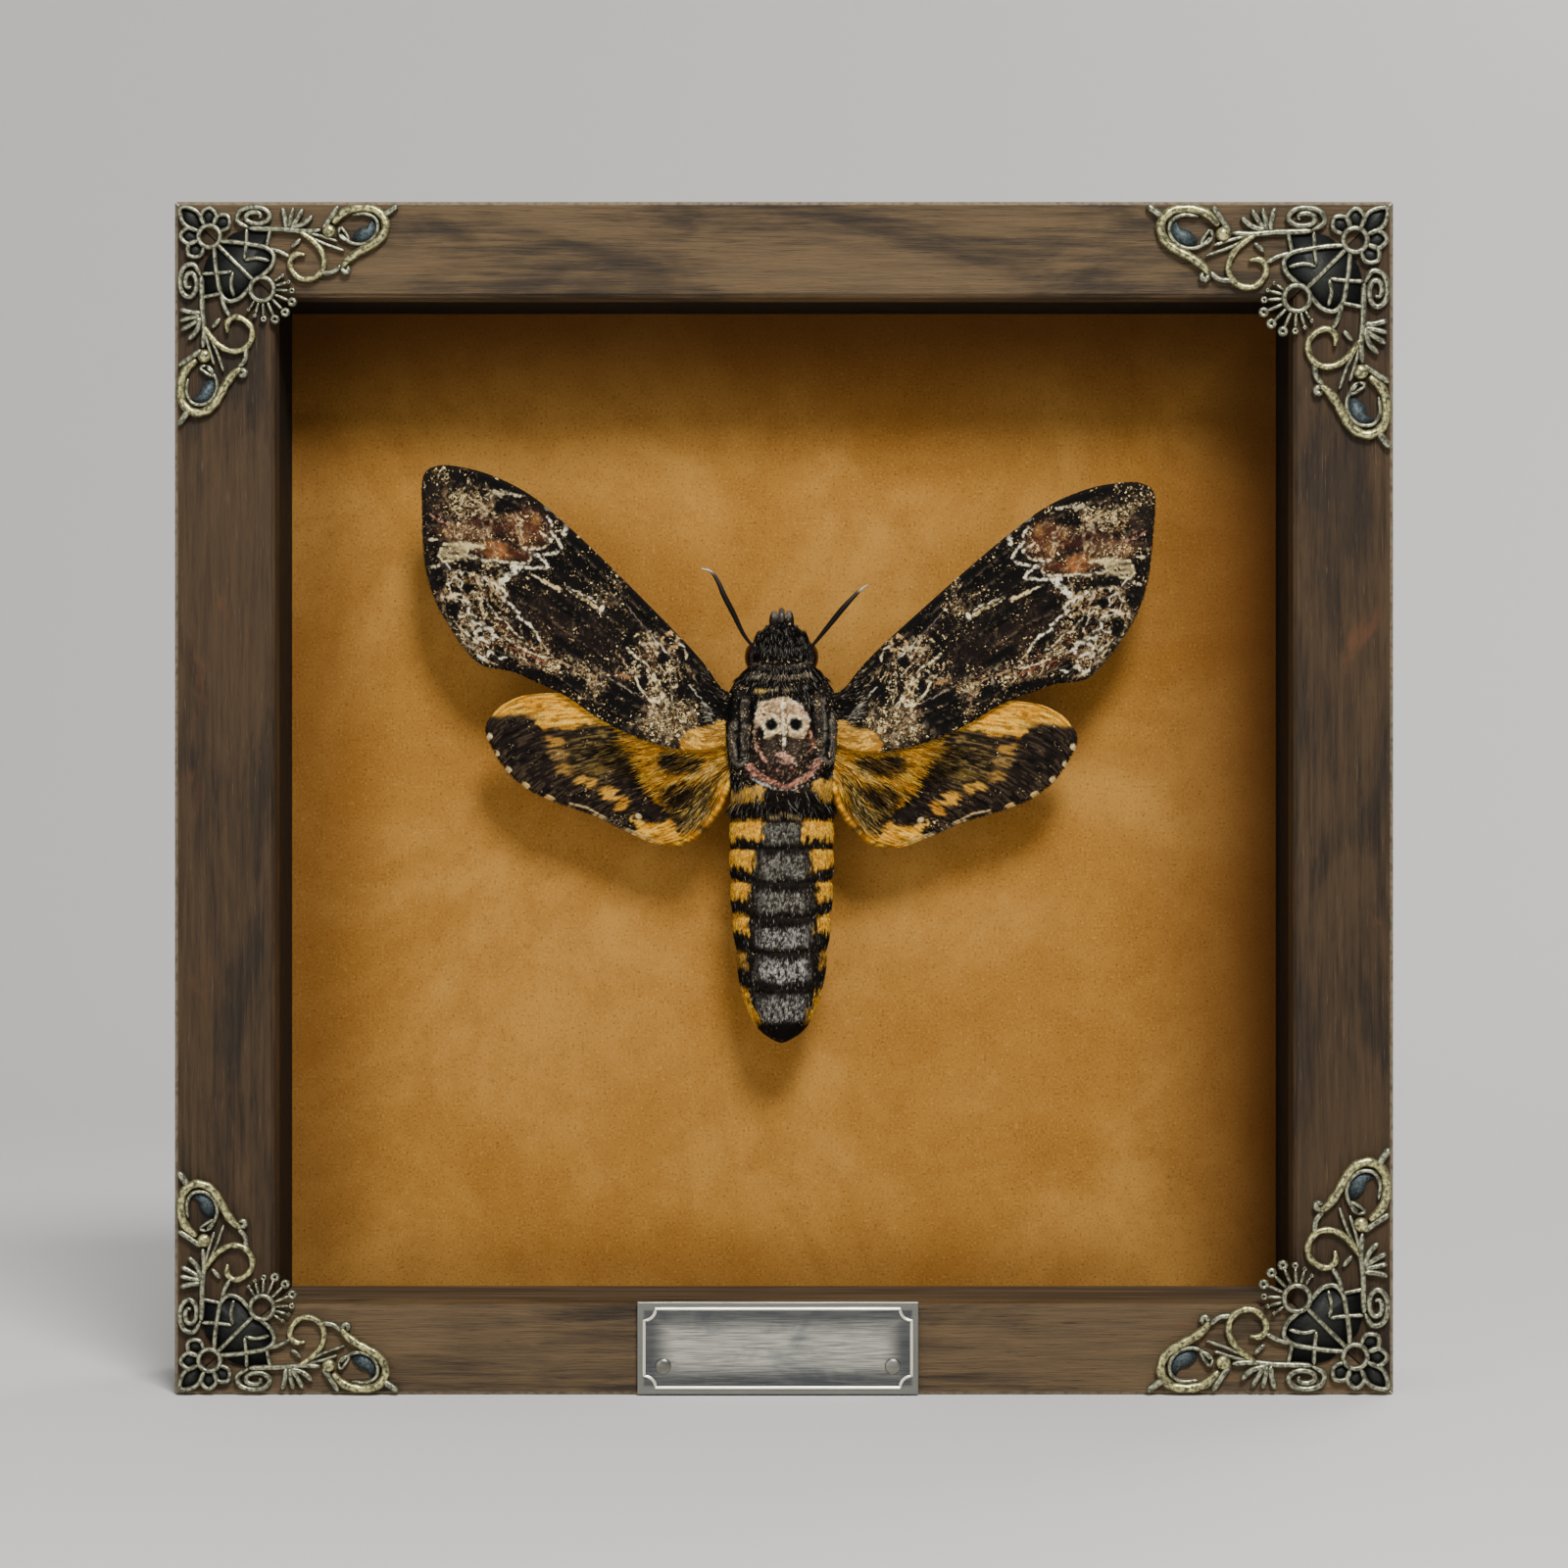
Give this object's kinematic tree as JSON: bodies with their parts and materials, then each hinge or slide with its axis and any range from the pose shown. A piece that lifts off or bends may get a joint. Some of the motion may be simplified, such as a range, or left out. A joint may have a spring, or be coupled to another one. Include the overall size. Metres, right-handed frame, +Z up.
{
  "type": "framed moth specimen",
  "caption": "Death's-head hawkmoth, spread and fixed in a deep wooden shadow-box frame with pierced metal corner mounts and a blank title plate; a still, life-size display model.",
  "frame": {"origin": "middle of the footprint of the frame, on the floor that it stands on", "axes": "+Z up along the moth's body towards its head, -Y out of the frame's open face, +X to the right as the face is seen"},
  "size_m": [0.2, 0.0394, 0.1958],
  "materials": {
    "rail_wood": "dark stained and brushed, worn at the edges",
    "liner_wood": "matt black stain",
    "parchment": "mottled ochre parchment",
    "hardboard": "bare brown hardboard",
    "corner_metal": "antique, bright ridges over dark recesses",
    "plate_metal": "brushed pewter grey",
    "fitting_steel": "plain",
    "cork": "bare cork",
    "body_fur": "dense dark hair",
    "abdomen_fur": "short yellow, grey and black scales",
    "forewing_scales": "marbled dark brown and cream scales",
    "hindwing_scales": "golden yellow and dark brown scales",
    "chitin": "satin dark shell",
    "eye": "dark red-brown"
  },
  "bodies": {
    "root": {"rail_top": "rail_wood", "rail_bottom": "rail_wood", "rail_left": "rail_wood", "rail_right": "rail_wood", "liner_top": "liner_wood", "liner_bottom": "liner_wood", "liner_left": "liner_wood", "liner_right": "liner_wood", "backing_card": "parchment", "back_board": "hardboard", "back_tab_top_a": "fitting_steel", "back_tab_top_b": "fitting_steel", "back_tab_bottom_a": "fitting_steel", "back_tab_bottom_b": "fitting_steel", "back_tab_left_a": "fitting_steel", "back_tab_left_b": "fitting_steel", "back_tab_right_a": "fitting_steel", "back_tab_right_b": "fitting_steel", "sawtooth_hanger": "fitting_steel", "corner_top_left": "corner_metal", "corner_top_right": "corner_metal", "corner_bottom_left": "corner_metal", "corner_bottom_right": "corner_metal", "title_plate": "plate_metal", "plate_screw_left": "fitting_steel", "plate_screw_right": "fitting_steel", "mounting_block": "cork", "head": "body_fur", "thorax": "body_fur", "abdomen": "abdomen_fur", "tegula_left": "body_fur", "tegula_right": "body_fur", "palp_left": "body_fur", "palp_right": "body_fur", "eye_left": "eye", "eye_right": "eye", "antenna_left": "chitin", "antenna_right": "chitin", "proboscis": "chitin", "leg_fore_left": "chitin", "leg_fore_right": "chitin", "leg_mid_left": "chitin", "leg_mid_right": "chitin", "leg_hind_left": "chitin", "leg_hind_right": "chitin", "forewing_left": "forewing_scales", "forewing_right": "forewing_scales", "hindwing_left": "hindwing_scales", "hindwing_right": "hindwing_scales"}
  },
  "joints": []
}
